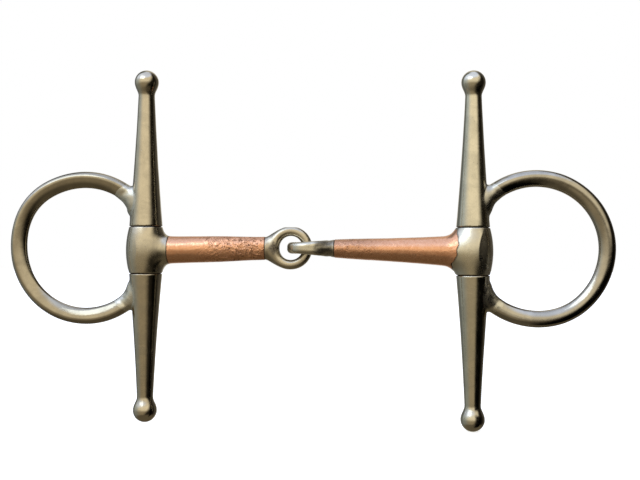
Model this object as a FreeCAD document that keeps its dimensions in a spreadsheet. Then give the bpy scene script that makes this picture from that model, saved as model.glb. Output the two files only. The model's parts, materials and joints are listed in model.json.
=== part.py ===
"""Full-cheek snaffle bit with loose cheeks, a single joint and a copper-covered mouthpiece.

The bit is drawn as it hangs in the bridle. The origin is the centre of the mouth: halfway between the two
cheeks, level with the middle of their barrels. +X runs across the mouth towards the right cheek, +Z up
along the cheek arms, and Y through the thickness. Lengths are in millimetres.

Each side has eight pieces: two cheek arms, a ring, two braze beads, a hinge pin, the mouthpiece core and
its copper sleeve. The cheek pieces are drawn about the cheek's own axis, and the mouthpiece pieces from
that axis towards the middle of the mouth. Placements then put them on their side.
"""

import FreeCAD, Part
import math
import os
import Sketcher

DRIVING_DIMENSIONS = [
    ("mouth_width", 127.0, "between the inner faces of the two barrels"),
    ("barrel_inset", 6.9, "from a barrel's inner face to its cheek's axis"),
    ("barrel_height", 20.0, "along the cheek"),
    ("barrel_end_radius", 7.15, "at its two flat ends"),
    ("barrel_bulge", 1.35, "how far its middle stands out past its ends"),
    ("end_gap", 0.3, "between a barrel's end and the cheek arm beside it"),
    ("pin_radius", 3.0, "hinge pin"),
    ("pin_grip", 5.6, "how deep the pin sits in each arm"),
    ("pin_chamfer", 0.5, "at both ends of the pin"),
    ("running_clearance", 0.06, "radial, between the pin and the barrel's bore"),
    ("left_upper_reach", 77.9, "from the barrel's centre to the top of the left upper ball"),
    ("left_lower_reach", 74.5, "from the barrel's centre to the bottom of the left lower ball"),
    ("right_upper_reach", 76.9, "from the barrel's centre to the top of the right upper ball"),
    ("right_lower_reach", 76.4, "from the barrel's centre to the bottom of the right lower ball"),
    ("arm_base_radius", 7.15, "beside the barrel"),
    ("arm_neck_radius", 3.45, "where the arm is thinnest, below its ball"),
    ("arm_waist_radius", 4.7, "where tangents to the two ends of the arm's long hollow taper meet"),
    ("arm_waist_reach", 38.8, "from the barrel's centre to the same place"),
    ("arm_edge_radius", 0.35, "round the edge beside the gap"),
    ("ball_radius", 5.15, "at the end of each arm"),
    ("ball_blend", 2.6, "hollow curve between ball and neck"),
    ("ring_offset", 26.4, "from the cheek's axis out to the ring's centre"),
    ("ring_inner_radius", 26.0, "of the opening"),
    ("ring_bar_width", 7.15, "of the ring's bar, in the ring's plane"),
    ("ring_bar_depth", 6.0, "of the ring's bar, through its plane"),
    ("ring_corner", 1.6, "radius of the two corners beside the flat inner face"),
    ("ring_gap_angle", 76.0, "of the circle left open, hidden inside the arms"),
    ("left_ring_rise", 0.8, "left ring's centre above its barrel's centre"),
    ("right_ring_rise", 1.35, "right ring's centre above its barrel's centre"),
    ("braze_out", 7.6, "from the cheek's axis out to the middle of a braze bead"),
    ("braze_height", 21.3, "from the ring's centre up or down to the middle of a bead"),
    ("braze_length", 5.6, "half length of a bead along the arm"),
    ("braze_depth", 3.9, "half depth of a bead through the ring's plane"),
    ("braze_spread", 4.3, "half width of a bead out along the ring"),
    ("left_length", 72.4, "from the cheek's axis to the tip of the left eye"),
    ("right_length", 79.2, "from the cheek's axis to the tip of the right eye"),
    ("left_sleeve_start", 10.2, "from the cheek's axis to the outer end of the left sleeve"),
    ("right_sleeve_start", 9.2, "from the cheek's axis to the outer end of the right sleeve"),
    ("sleeve_setback", 20.3, "from the sleeve's inner end to the tip of the eye"),
    ("sleeve_wall", 0.9, "thickness of the copper"),
    ("flare_start", 6.6, "from the cheek's axis to where the flare leaves the barrel"),
    ("flare_height", 19.2, "of the flare there"),
    ("flare_thickness", 13.2, "of the flare there"),
    ("flare_middle", 7.9, "from the cheek's axis to the flare's hollow"),
    ("hollow_height", 15.4, "of the flare at its hollow"),
    ("hollow_thickness", 13.4, "of the flare at its hollow"),
    ("left_root_width", 13.0, "of the left bar at the sleeve's outer end, in the eye's plane"),
    ("left_root_thickness", 12.9, "of the left bar at the sleeve's outer end, across the eye's plane"),
    ("right_root_width", 14.2, "of the right bar at the sleeve's outer end, in the eye's plane"),
    ("right_root_thickness", 14.1, "of the right bar at the sleeve's outer end, across the eye's plane"),
    ("shoulder_run", 4.3, "length over which the bar draws in from the root"),
    ("left_shoulder_width", 11.9, "of the left bar once it has drawn in, in the eye's plane"),
    ("left_shoulder_thickness", 11.8, "of the left bar once it has drawn in, across the eye's plane"),
    ("right_shoulder_width", 12.9, "of the right bar once it has drawn in, in the eye's plane"),
    ("right_shoulder_thickness", 12.8, "of the right bar once it has drawn in, across the eye's plane"),
    ("middle_width", 11.0, "of the bar halfway along the sleeve, in the eye's plane"),
    ("middle_thickness", 9.9, "of the bar halfway along the sleeve, across the eye's plane"),
    ("tip_width", 9.7, "of the bar at the sleeve's inner end, in the eye's plane"),
    ("tip_thickness", 7.7, "of the bar at the sleeve's inner end, across the eye's plane"),
    ("neck_run", 5.0, "from the sleeve's inner end into the root of the eye"),
    ("neck_width", 13.4, "of the neck where it enters the eye, in the eye's plane"),
    ("neck_thickness", 4.6, "of the neck where it enters the eye, across the eye's plane"),
    ("eye_radius", 9.25, "outside of the eye"),
    ("eye_bar_width", 4.1, "of the eye's bar, in the eye's plane"),
    ("eye_bar_depth", 4.9, "of the eye's bar, through the eye's plane"),
    ("eye_corner", 1.7, "radius of the edges of the eye's bar"),
]

SHEET_NAME = "Dimensions"
NEAR = 0.01
FULL_TURN = 360.0
HALF_TURN = 180.0
QUARTER_TURN = 90.0
SIDES = ("left", "right")
X_AXIS = FreeCAD.Vector(1, 0, 0)
Z_AXIS = FreeCAD.Vector(0, 0, 1)
UPRIGHT = FreeCAD.Rotation()
TURNED_OVER = FreeCAD.Rotation(X_AXIS, HALF_TURN)
TURNED_ROUND = FreeCAD.Rotation(Z_AXIS, HALF_TURN)
TURNED_UP = FreeCAD.Rotation(X_AXIS, QUARTER_TURN)
ORIGIN_POINT = (-1, 1)
HORIZONTAL_AXIS = -1
VERTICAL_AXIS = -2
START, END, CENTRE = 1, 2, 3
MIDDLE = ("middle_width", "middle_thickness")
TIP = ("tip_width", "tip_thickness")
NECK = ("neck_width", "neck_thickness")

doc = FreeCAD.newDocument("snaffle_bit")
sheet = doc.addObject("Spreadsheet::Sheet", SHEET_NAME)
for row, (alias, number, meaning) in enumerate(DRIVING_DIMENSIONS, start=1):
    sheet.set(f"A{row}", alias.replace("_", " "))
    sheet.set(f"B{row}", str(number))
    sheet.set(f"C{row}", meaning)
    sheet.setAlias(f"B{row}", alias)
doc.recompute()


def size(alias):
    """A driving dimension's number, for placing sketch points near where their constraints put them."""
    return float(getattr(sheet, alias))


def formula(text):
    """Writes the sheet's name before each alias in a formula, such as 'pin_radius + running_clearance'."""
    names = {alias for alias, _, _ in DRIVING_DIMENSIONS}
    words = text.replace("(", "( ").replace(")", " )").split()
    return " ".join(f"{SHEET_NAME}.{word}" if word in names else word for word in words)


def bind(thing, prop, text):
    """Binds one property of a document object to a formula over the sheet's dimensions."""
    thing.setExpression(prop, formula(text))


def place(thing, rotation, x="0", z="0"):
    """Turns a piece to its side of the bit and puts its origin at a bound position."""
    thing.Placement = FreeCAD.Placement(FreeCAD.Vector(), rotation)
    bind(thing, "Placement.Base.x", x)
    bind(thing, "Placement.Base.z", z)


# ---------------------------------------------------------------- sketches


def new_body(label):
    body = doc.addObject("PartDesign::Body", label)
    body.Label = label
    return body


def origin_plane(body, role):
    return next(plane for plane in body.Origin.OriginFeatures if plane.Role == role)


def new_sketch(body, name, role, height=None):
    """A sketch on one of the body's origin planes, or parallel to it at a bound height."""
    sketch = body.newObject("Sketcher::SketchObject", f"{body.Label}_{name}")
    sketch.AttachmentSupport = (origin_plane(body, role), "")
    sketch.MapMode = "FlatFace"
    if height is not None:
        bind(sketch, "AttachmentOffset.Base.z", height)
    return sketch


def dimension(sketch, kind, *where, text):
    """Adds a dimensional constraint whose value is a formula over the sheet."""
    index = sketch.addConstraint(Sketcher.Constraint(kind, *where, evaluate(text)))
    bind(sketch, f"Constraints[{index}]", text)


def line(sketch, start, end):
    return sketch.addGeometry(Part.LineSegment(point(*start), point(*end)), False)


def point(x, y):
    return FreeCAD.Vector(x, y, 0)


def arc_through(sketch, start, middle, end):
    """An arc through three points, stored anticlockwise, so either end may be its first vertex."""
    arc = Part.Arc(point(*start), point(*middle), point(*end))
    return sketch.addGeometry(arc, False)


def hollow_curve(sketch, start, waist, end):
    """A parabola from start to end, whose end tangents meet at the waist."""
    curve = Part.BSplineCurve()
    curve.buildFromPolesMultsKnots([point(*start), point(*waist), point(*end)], [3, 3], [0, 1], False, 2)
    return sketch.addGeometry(curve, False)


def vertex_at(sketch, index, spot):
    """Which end of a sketch edge lies at a spot: 1 for its start, 2 for its end."""
    near_start = sketch.getPoint(index, 1).distanceToPoint(point(*spot))
    near_end = sketch.getPoint(index, 2).distanceToPoint(point(*spot))
    return 1 if near_start < near_end else 2


def join(sketch, chain, spots, smooth=()):
    """Joins a closed chain of edges. spots[i] is where edge i meets the one before it.

    The indices in smooth are the corners where the two edges run into each other smoothly.
    """
    for i, edge in enumerate(chain):
        before = chain[i - 1]
        ends = (before, vertex_at(sketch, before, spots[i]), edge, vertex_at(sketch, edge, spots[i]))
        kind = "Tangent" if i in smooth else "Coincident"
        sketch.addConstraint(Sketcher.Constraint(kind, *ends))


def circle(sketch, radius_text):
    ring = sketch.addGeometry(Part.Circle(point(0, 0), Z_AXIS, evaluate(radius_text)), False)
    sketch.addConstraint(Sketcher.Constraint("Coincident", ring, CENTRE, *ORIGIN_POINT))
    dimension(sketch, "Radius", ring, text=radius_text)


def ellipse(sketch, wide_text, thick_text, wide_along_y, middle=(0.0, 0.0)):
    """An ellipse with bound width and thickness, its long axis along the sketch's y or x."""
    wide, thick = evaluate(wide_text) / 2, evaluate(thick_text) / 2
    x, y = middle
    long_end = point(x, y + wide) if wide_along_y else point(x + wide, y)
    short_end = point(x - thick, y) if wide_along_y else point(x, y + thick)
    index = sketch.addGeometry(Part.Ellipse(long_end, short_end, point(x, y)), False)
    sketch.exposeInternalGeometry(index)
    long_line, short_line = index + 1, index + 2
    sketch.addConstraint(Sketcher.Constraint("Vertical" if wide_along_y else "Horizontal", long_line))
    dimension(sketch, "Distance", long_line, text=wide_text)
    dimension(sketch, "Distance", short_line, text=thick_text)
    if middle == (0.0, 0.0):
        sketch.addConstraint(Sketcher.Constraint("Coincident", index, CENTRE, *ORIGIN_POINT))
    return index


def evaluate(text):
    """The number that a formula gives now."""
    return float(sheet.evalExpression(formula(text)))


# ---------------------------------------------------------------- features


def revolve(body, sketch, axis="V_Axis", angle=None):
    turn = body.newObject("PartDesign::Revolution", f"{sketch.Label}_turned")
    turn.Profile = sketch
    turn.ReferenceAxis = (sketch, [axis])
    turn.Angle = FULL_TURN
    if angle is not None:
        turn.Midplane = True
        bind(turn, "Angle", angle)
    sketch.Visibility = False
    return turn


def loft(body, sketches, kind="PartDesign::AdditiveLoft", ruled=False):
    form = body.newObject(kind, f"{sketches[0].Label}_lofted")
    form.Profile = sketches[0]
    form.Sections = sketches[1:]
    form.Ruled = ruled
    return form


def checked_cut(body, feature):
    """Recomputes after a cutting feature and stops if it took nothing away."""
    doc.recompute()
    if not feature.Shape.Volume < feature.BaseFeature.Shape.Volume:
        raise RuntimeError(f"{feature.Label} cuts nothing from {body.Label}")
    return feature


def round_edges(body, radius, wanted, name):
    """Rounds the edges of the body's tip that wanted() picks."""
    doc.recompute()
    base = body.Tip
    edges = [f"Edge{i}" for i, edge in enumerate(base.Shape.Edges, start=1) if wanted(edge)]
    if not edges:
        raise RuntimeError(f"{body.Label} has no edge to round")
    fillet = body.newObject("PartDesign::Fillet", f"{body.Label}_{name}")
    fillet.Base = (base, edges)
    bind(fillet, "Radius", radius)
    return fillet


# ---------------------------------------------------------------- cheek


def cheek_arm(label, reach_text):
    """One arm of a cheek, turned about its own axis: base, long hollow taper, neck, ball, pin socket."""
    base = size("barrel_height") / 2 + size("end_gap")
    base_radius = size("arm_base_radius")
    neck = size("arm_neck_radius")
    ball = size("ball_radius")
    blend = size("ball_blend")
    pin = size("pin_radius")
    reach = size(reach_text)
    socket = base + size("pin_grip")
    ball_z = reach - ball
    blend_z = ball_z - math.sqrt((ball + blend) ** 2 - (neck + blend) ** 2)
    share = ball / (ball + blend)
    touch = ((neck + blend) * share, ball_z - (ball_z - blend_z) * share)
    half_way = math.atan2(touch[1] - ball_z, touch[0]) / 2 + math.pi / 4
    side = (ball * math.cos(half_way), ball_z + ball * math.sin(half_way))
    blend_angle = math.atan2(ball_z - blend_z, -(neck + blend)) / 2 + math.pi / 2
    hollow = (
        neck + blend + blend * math.cos(blend_angle),
        blend_z + blend * math.sin(blend_angle),
    )
    corner = (base_radius, base)
    neck_end = (neck, blend_z)
    waist = (size("arm_waist_radius"), size("arm_waist_reach"))

    body = new_body(label)
    sketch = new_sketch(body, "profile", "XZ_Plane")
    spots = [(pin, base), corner, neck_end, touch, (0, reach), (0, socket), (pin, socket)]
    foot = line(sketch, spots[0], spots[1])
    taper = hollow_curve(sketch, corner, waist, neck_end)
    neck_arc = arc_through(sketch, neck_end, hollow, touch)
    ball_arc = arc_through(sketch, touch, side, (0, reach))
    axis = line(sketch, (0, reach), (0, socket))
    floor = line(sketch, (0, socket), (pin, socket))
    wall = line(sketch, (pin, socket), spots[0])
    join(sketch, [foot, taper, neck_arc, ball_arc, axis, floor, wall], spots, smooth=(3,))

    for flat in (foot, floor):
        sketch.addConstraint(Sketcher.Constraint("Horizontal", flat))
    sketch.addConstraint(Sketcher.Constraint("Vertical", wall))
    sketch.addConstraint(Sketcher.Constraint("PointOnObject", axis, START, VERTICAL_AXIS))
    sketch.addConstraint(Sketcher.Constraint("PointOnObject", axis, END, VERTICAL_AXIS))
    sketch.addConstraint(Sketcher.Constraint("PointOnObject", ball_arc, CENTRE, VERTICAL_AXIS))
    neck_vertex = vertex_at(sketch, neck_arc, neck_end)
    dimension(sketch, "DistanceX", *ORIGIN_POINT, foot, END, text="arm_base_radius")
    dimension(sketch, "DistanceX", *ORIGIN_POINT, wall, END, text="pin_radius")
    dimension(sketch, "DistanceY", *ORIGIN_POINT, foot, END, text="barrel_height / 2 + end_gap")
    dimension(sketch, "DistanceY", foot, END, floor, START, text="pin_grip")
    dimension(sketch, "DistanceX", *ORIGIN_POINT, neck_arc, neck_vertex, text="arm_neck_radius")
    dimension(sketch, "DistanceY", *ORIGIN_POINT, axis, START, text=reach_text)
    dimension(sketch, "Radius", ball_arc, text="ball_radius")
    dimension(sketch, "Radius", neck_arc, text="ball_blend")
    sketch.exposeInternalGeometry(taper)
    middle_pole = wall + 2
    dimension(sketch, "DistanceX", *ORIGIN_POINT, middle_pole, CENTRE, text="arm_waist_radius")
    dimension(sketch, "DistanceY", *ORIGIN_POINT, middle_pole, CENTRE, text="arm_waist_reach")
    revolve(body, sketch)
    round_edges(body, "arm_edge_radius", lambda edge: lies_at(edge, base, base_radius), "edge")
    return body


def lies_at(edge, height, radius):
    """Whether an edge is a circle of this radius round the Z axis at this height."""
    box = edge.BoundBox
    level = abs(box.ZMin - height) < NEAR and abs(box.ZMax - height) < NEAR
    return level and abs(box.XMax - radius) < NEAR


def cheek_ring_bar(label):
    """The ring's D-section bar, turned through most of a circle about the ring's own centre."""
    inner = -size("ring_inner_radius")
    outer = inner - size("ring_bar_width")
    half = size("ring_bar_depth") / 2
    corner = size("ring_corner")
    bend = corner * math.sqrt(0.5)
    crown = outer + half
    body = new_body(label)
    sketch = new_sketch(body, "section", "XY_Plane")
    spots = [
        (crown, half),
        (inner - corner, half),
        (inner, half - corner),
        (inner, corner - half),
        (inner - corner, -half),
        (crown, -half),
    ]
    top = line(sketch, spots[0], spots[1])
    top_centre = (inner - corner, half - corner)
    top_bend = (top_centre[0] + bend, top_centre[1] + bend)
    top_corner = arc_through(sketch, spots[1], top_bend, spots[2])
    face = line(sketch, spots[2], spots[3])
    low_bend = (top_bend[0], -top_bend[1])
    low_corner = arc_through(sketch, spots[3], low_bend, spots[4])
    bottom = line(sketch, spots[4], spots[5])
    back = arc_through(sketch, spots[5], (outer, 0), spots[0])
    join(sketch, [top, top_corner, face, low_corner, bottom, back], spots, smooth=range(len(spots)))
    sketch.addConstraint(Sketcher.Constraint("Horizontal", top))
    sketch.addConstraint(Sketcher.Constraint("PointOnObject", back, CENTRE, HORIZONTAL_AXIS))
    sketch.addConstraint(Sketcher.Constraint("Equal", top_corner, low_corner))
    dimension(sketch, "Radius", top_corner, text="ring_corner")
    dimension(sketch, "Radius", back, text="ring_bar_depth / 2")
    dimension(sketch, "DistanceX", face, START, *ORIGIN_POINT, text="ring_inner_radius")
    crown_text = "ring_inner_radius + ring_bar_width - ring_bar_depth / 2"
    dimension(sketch, "DistanceX", back, CENTRE, *ORIGIN_POINT, text=crown_text)
    revolve(body, sketch, angle="360 - ring_gap_angle")
    return body


def cut(label, base, tool):
    """base with tool taken away, as one document object."""
    result = doc.addObject("Part::Cut", label)
    result.Label = label
    result.Base = base
    result.Tool = tool
    return result


def hinge_pin(label):
    body = new_body(label)
    sketch = new_sketch(body, "section", "XY_Plane")
    circle(sketch, "pin_radius")
    pad = body.newObject("PartDesign::Pad", f"{label}_pad")
    pad.Profile = sketch
    pad.Midplane = True
    bind(pad, "Length", "barrel_height + 2 * end_gap + 2 * pin_grip")
    doc.recompute()
    rims = [f"Edge{i}" for i, edge in enumerate(pad.Shape.Edges, start=1) if is_round(edge)]
    chamfer = body.newObject("PartDesign::Chamfer", f"{label}_chamfer")
    chamfer.Base = (pad, rims)
    bind(chamfer, "Size", "pin_chamfer")
    return body


def is_round(edge):
    return isinstance(edge.Curve, Part.Circle)


def braze_bead(label, side, level):
    """A bead of brazing metal round one foot of the ring, before the ring and the arm are cut from it."""
    outward = -1 if side == "left" else 1
    blob = doc.addObject("Part::Ellipsoid", label)
    blob.Label = label
    bind(blob, "Radius1", "braze_depth")
    bind(blob, "Radius2", "braze_spread")
    bind(blob, "Radius3", "braze_length")
    blob.Angle1 = -QUARTER_TURN
    blob.Angle2 = QUARTER_TURN
    blob.Angle3 = FULL_TURN
    foot_x = "(mouth_width / 2 + barrel_inset + braze_out)"
    rise = f"{side}_ring_rise"
    turned = TURNED_UP if side == "left" else TURNED_ROUND * TURNED_UP
    place(blob, turned, f"{outward} * {foot_x}", f"{rise} + {level} * braze_height")
    return blob


# ---------------------------------------------------------------- mouthpiece


def mouthpiece_core(label, side):
    """Barrel, bar, neck and eye of one half, from the barrel's centre along +X to the eye's tip.

    The left eye lies in the plane of the cheeks and the right eye across it, so that they link.
    """
    length = f"{side}_length"
    body = new_body(label)
    barrel(body)
    loft(body, flare_sections(body, side), ruled=True)
    loft(body, bar_sections(body, side, length, "core", "2 * sleeve_wall"))
    neck_start = f"{length} - sleeve_setback"
    neck_root = bar_section(body, side, "neck_start", neck_start, *TIP, "0")
    neck_end = bar_section(body, side, "neck_end", f"{neck_start} + neck_run", *NECK, "0")
    loft(body, [neck_root, neck_end])
    eye(body, side, length)
    sketch = new_sketch(body, "bore", "XY_Plane")
    circle(sketch, "pin_radius + running_clearance")
    bore = body.newObject("PartDesign::Pocket", f"{label}_bore_cut")
    bore.Profile = sketch
    bore.Type = "ThroughAll"
    bore.Midplane = True
    checked_cut(body, bore)
    return body


def barrel(body):
    """A short cylinder that swells towards its middle."""
    half = size("barrel_height") / 2
    end_radius = size("barrel_end_radius")
    bulge = size("barrel_bulge")
    sketch = new_sketch(body, "barrel", "XZ_Plane")
    spots = [(0, -half), (end_radius, -half), (end_radius, half), (0, half)]
    bottom = line(sketch, spots[0], spots[1])
    swell = arc_through(sketch, spots[1], (end_radius + bulge, 0), spots[2])
    top = line(sketch, spots[2], spots[3])
    axis = line(sketch, spots[3], spots[0])
    join(sketch, [bottom, swell, top, axis], spots)
    sketch.addConstraint(Sketcher.Constraint("Horizontal", bottom))
    sketch.addConstraint(Sketcher.Constraint("Horizontal", top))
    sketch.addConstraint(Sketcher.Constraint("PointOnObject", axis, START, VERTICAL_AXIS))
    sketch.addConstraint(Sketcher.Constraint("PointOnObject", axis, END, VERTICAL_AXIS))
    sketch.addConstraint(Sketcher.Constraint("PointOnObject", swell, CENTRE, HORIZONTAL_AXIS))
    dimension(sketch, "DistanceX", bottom, START, bottom, END, text="barrel_end_radius")
    dimension(sketch, "DistanceY", axis, END, axis, START, text="barrel_height")
    curve = "(barrel_height * barrel_height / 4 + barrel_bulge * barrel_bulge) / (2 * barrel_bulge)"
    dimension(sketch, "Radius", swell, text=curve)
    revolve(body, sketch)


def flare_sections(body, side):
    """Three upright ellipses where the barrel narrows in a hollow curve to the root of the bar."""
    stations = [
        ("flare", "flare_start", "flare_height", "flare_thickness"),
        ("hollow", "flare_middle", "hollow_height", "hollow_thickness"),
        ("root", f"{side}_sleeve_start", f"{side}_root_width", f"{side}_root_thickness"),
    ]
    sketches = []
    for name, station, height, thickness in stations:
        sketch = new_sketch(body, f"flare_{name}", "YZ_Plane", station)
        ellipse(sketch, height, thickness, True)
        sketches.append(sketch)
    return sketches


def bar_section(body, side, name, station, in_plane, across, less):
    """An ellipse across the bar at a station along it; less is taken off both of its widths."""
    sketch = new_sketch(body, name, "YZ_Plane", station)
    ellipse(sketch, f"{in_plane} - {less}", f"{across} - {less}", side == "left")
    return sketch


def bar_sections(body, side, length, name, less):
    """The four sections of the bar under the sleeve, or of the sleeve itself when less is 0."""
    start = f"{side}_sleeve_start"
    end = f"{length} - sleeve_setback"
    stations = [
        ("root", start, (f"{side}_root_width", f"{side}_root_thickness")),
        ("shoulder", f"{start} + shoulder_run", (f"{side}_shoulder_width", f"{side}_shoulder_thickness")),
        ("middle", f"({start} + {end}) / 2", MIDDLE),
        ("tip", end, TIP),
    ]
    return [bar_section(body, side, f"{name}_{spot}", at, *widths, less) for spot, at, widths in stations]


def eye(body, side, length):
    """The ring at the end of a half, a round-edged bar turned about the eye's own axis."""
    centre = evaluate(f"{length} - eye_radius")
    near = centre + evaluate("eye_radius - eye_bar_width")
    far = centre + evaluate("eye_radius")
    half = size("eye_bar_depth") / 2
    corner = size("eye_corner")
    bend = corner * math.sqrt(0.5)
    sketch = new_sketch(body, "eye", "XY_Plane" if side == "left" else "XZ_Plane")
    axis = sketch.addGeometry(Part.LineSegment(point(centre, 0), point(centre, half)), True)
    chain, spots = [], []
    corners = [(far, half, 1, 1), (near, half, -1, 1), (near, -half, -1, -1), (far, -half, 1, -1)]
    for x, y, right, up in corners:
        middle = (x - right * corner, y - up * corner)
        spots.append((x, middle[1]) if right == up else (middle[0], y))
        spots.append((middle[0], y) if right == up else (x, middle[1]))
    for i, (x, y, right, up) in enumerate(corners):
        start, end = spots[2 * i], spots[2 * i + 1]
        middle = (x - right * (corner - bend), y - up * (corner - bend))
        chain.append(arc_through(sketch, start, middle, end))
        chain.append(line(sketch, end, spots[(2 * i + 2) % len(spots)]))
    join(sketch, chain, spots, smooth=range(len(spots)))
    arcs, flats = chain[0::2], chain[1::2]
    for other in arcs[1:]:
        sketch.addConstraint(Sketcher.Constraint("Equal", arcs[0], other))
    sketch.addConstraint(Sketcher.Constraint("Horizontal", flats[0]))
    sketch.addConstraint(Sketcher.Constraint("Vertical", axis))
    sketch.addConstraint(Sketcher.Constraint("PointOnObject", axis, START, HORIZONTAL_AXIS))
    sketch.addConstraint(
        Sketcher.Constraint("Symmetric", flats[3], START, flats[3], END, HORIZONTAL_AXIS)
    )
    dimension(sketch, "Radius", arcs[0], text="eye_corner")
    dimension(sketch, "DistanceX", *ORIGIN_POINT, axis, START, text=f"{length} - eye_radius")
    dimension(sketch, "DistanceX", *ORIGIN_POINT, flats[3], START, text=length)
    dimension(sketch, "DistanceX", *ORIGIN_POINT, flats[1], START, text=f"{length} - eye_bar_width")
    dimension(sketch, "DistanceY", flats[2], START, flats[0], END, text="eye_bar_depth")
    dimension(sketch, "DistanceY", axis, START, axis, END, text="eye_bar_depth / 2")
    revolve(body, sketch, axis="Axis0")


def copper_sleeve(label, side):
    """A tube of copper that follows the bar, flush with the steel at both ends."""
    length = f"{side}_length"
    body = new_body(label)
    loft(body, bar_sections(body, side, length, "outside", "0"))
    doc.recompute()
    inside = bar_sections(body, side, length, "inside", "2 * sleeve_wall")
    checked_cut(body, loft(body, inside, "PartDesign::SubtractiveLoft"))
    return body


# ---------------------------------------------------------------- assembly


def build_side(side):
    """The eight pieces of one side, in place."""
    outward = "-1" if side == "left" else "1"
    turned = UPRIGHT if side == "left" else TURNED_ROUND
    cheek_x = f"{outward} * (mouth_width / 2 + barrel_inset)"
    upper = cheek_arm(f"{side}_upper_cheek_arm", f"{side}_upper_reach")
    place(upper, UPRIGHT, cheek_x)
    lower = cheek_arm(f"{side}_lower_cheek_arm", f"{side}_lower_reach")
    place(lower, TURNED_OVER, cheek_x)
    pin = hinge_pin(f"{side}_hinge_pin")
    place(pin, UPRIGHT, cheek_x)

    bar = cheek_ring_bar(f"{side}_ring_bar")
    ring_x = f"{outward} * (mouth_width / 2 + barrel_inset + ring_offset)"
    place(bar, turned, ring_x, f"{side}_ring_rise")
    above = cut(f"{side}_ring_trimmed_above", bar, upper)
    ring = cut(f"{side}_cheek_ring", above, lower)

    beads = []
    for name, arm, level in (("upper", upper, 1), ("lower", lower, -1)):
        blob = braze_bead(f"{side}_{name}_braze_blob", side, level)
        round_ring = cut(f"{side}_{name}_braze_round_ring", blob, ring)
        beads.append(cut(f"{side}_{name}_braze", round_ring, arm))

    core = mouthpiece_core(f"{side}_mouthpiece_core", side)
    place(core, turned, cheek_x)
    sleeve = copper_sleeve(f"{side}_copper_sleeve", side)
    place(sleeve, turned, cheek_x)
    return [upper, lower, pin, ring, *beads, core, sleeve]


def check_document():
    """Stops if any object of the document failed to compute."""
    for thing in doc.Objects:
        if "Invalid" in thing.State or "Error" in thing.State:
            raise RuntimeError(f"{thing.Label} failed: {thing.State}")


def check_piece(piece):
    """Stops unless a piece is one valid closed solid."""
    shape = piece.Shape
    if shape.isNull() or not shape.isValid() or len(shape.Solids) != 1:
        raise RuntimeError(f"{piece.Label} is not one valid solid: {len(shape.Solids)} solids")


pieces = [piece for side in SIDES for piece in build_side(side)]
doc.recompute()
check_document()
for piece in pieces:
    check_piece(piece)

os.makedirs("parts", exist_ok=True)
for piece in pieces:
    piece.Shape.exportStep(f"parts/{piece.Label}.step")
    print(f"{piece.Label}: {piece.Shape.Volume:.1f} mm3")
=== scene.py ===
"""Looks of the full-cheek snaffle bit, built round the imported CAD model.

Every visible piece is a closed surface drawn by a distance field: a function that gives, for any
point, how far outside the piece it is. mesh_of() wraps a net of quads round the places where the
field is zero and then pulls each corner exactly onto the surface, so that long polished sides
reflect cleanly and the blends between a ring's foot, its braze and the arm are smooth. Lengths
inside the fields are in millimetres, and the meshes are in metres, in the CAD frame: X across the
mouth, Z up along the cheeks, Y away from the viewer.
"""

import json
import math

import bpy
import numpy as np
from mathutils import Matrix, Vector


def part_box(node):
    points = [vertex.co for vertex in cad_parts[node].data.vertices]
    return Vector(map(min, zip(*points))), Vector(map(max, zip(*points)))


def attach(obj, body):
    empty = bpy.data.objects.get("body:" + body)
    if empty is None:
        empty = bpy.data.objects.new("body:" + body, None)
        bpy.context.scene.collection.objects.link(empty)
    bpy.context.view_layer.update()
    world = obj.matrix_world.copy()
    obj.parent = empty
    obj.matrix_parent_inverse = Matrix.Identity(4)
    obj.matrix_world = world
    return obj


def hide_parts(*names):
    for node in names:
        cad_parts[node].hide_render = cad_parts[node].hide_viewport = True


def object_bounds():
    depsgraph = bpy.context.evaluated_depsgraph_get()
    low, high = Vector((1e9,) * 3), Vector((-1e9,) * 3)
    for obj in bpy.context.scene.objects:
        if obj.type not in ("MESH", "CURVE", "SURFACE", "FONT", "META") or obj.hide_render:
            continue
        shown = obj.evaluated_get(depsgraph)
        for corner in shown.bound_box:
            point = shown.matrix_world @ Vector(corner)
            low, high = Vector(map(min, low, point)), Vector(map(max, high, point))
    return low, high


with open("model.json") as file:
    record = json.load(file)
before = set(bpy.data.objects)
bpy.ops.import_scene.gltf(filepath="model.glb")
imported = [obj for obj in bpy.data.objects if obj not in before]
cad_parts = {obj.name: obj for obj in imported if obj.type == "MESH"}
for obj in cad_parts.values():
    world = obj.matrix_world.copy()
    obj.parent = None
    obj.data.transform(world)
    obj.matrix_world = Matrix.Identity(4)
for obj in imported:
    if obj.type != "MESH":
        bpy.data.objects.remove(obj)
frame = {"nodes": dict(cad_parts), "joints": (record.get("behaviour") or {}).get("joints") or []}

CAD_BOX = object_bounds()
MM = 0.001
SIDES = {"left": -1, "right": 1}
LEVELS = {"upper": 1, "lower": -1}
SEED = 7


# ---------------------------------------------------------------- sizes, read from the CAD frame


def box_mm(node):
    """Lowest and highest corners of a CAD node, in millimetres."""
    low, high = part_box(node)
    return np.array(low) / MM, np.array(high) / MM


def joint_x(name):
    """Where a hinge stands across the mouth, in millimetres."""
    joint = next(j for j in frame["joints"] if j["name"] == name)
    return joint["pos_m"][0] / MM


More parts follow.
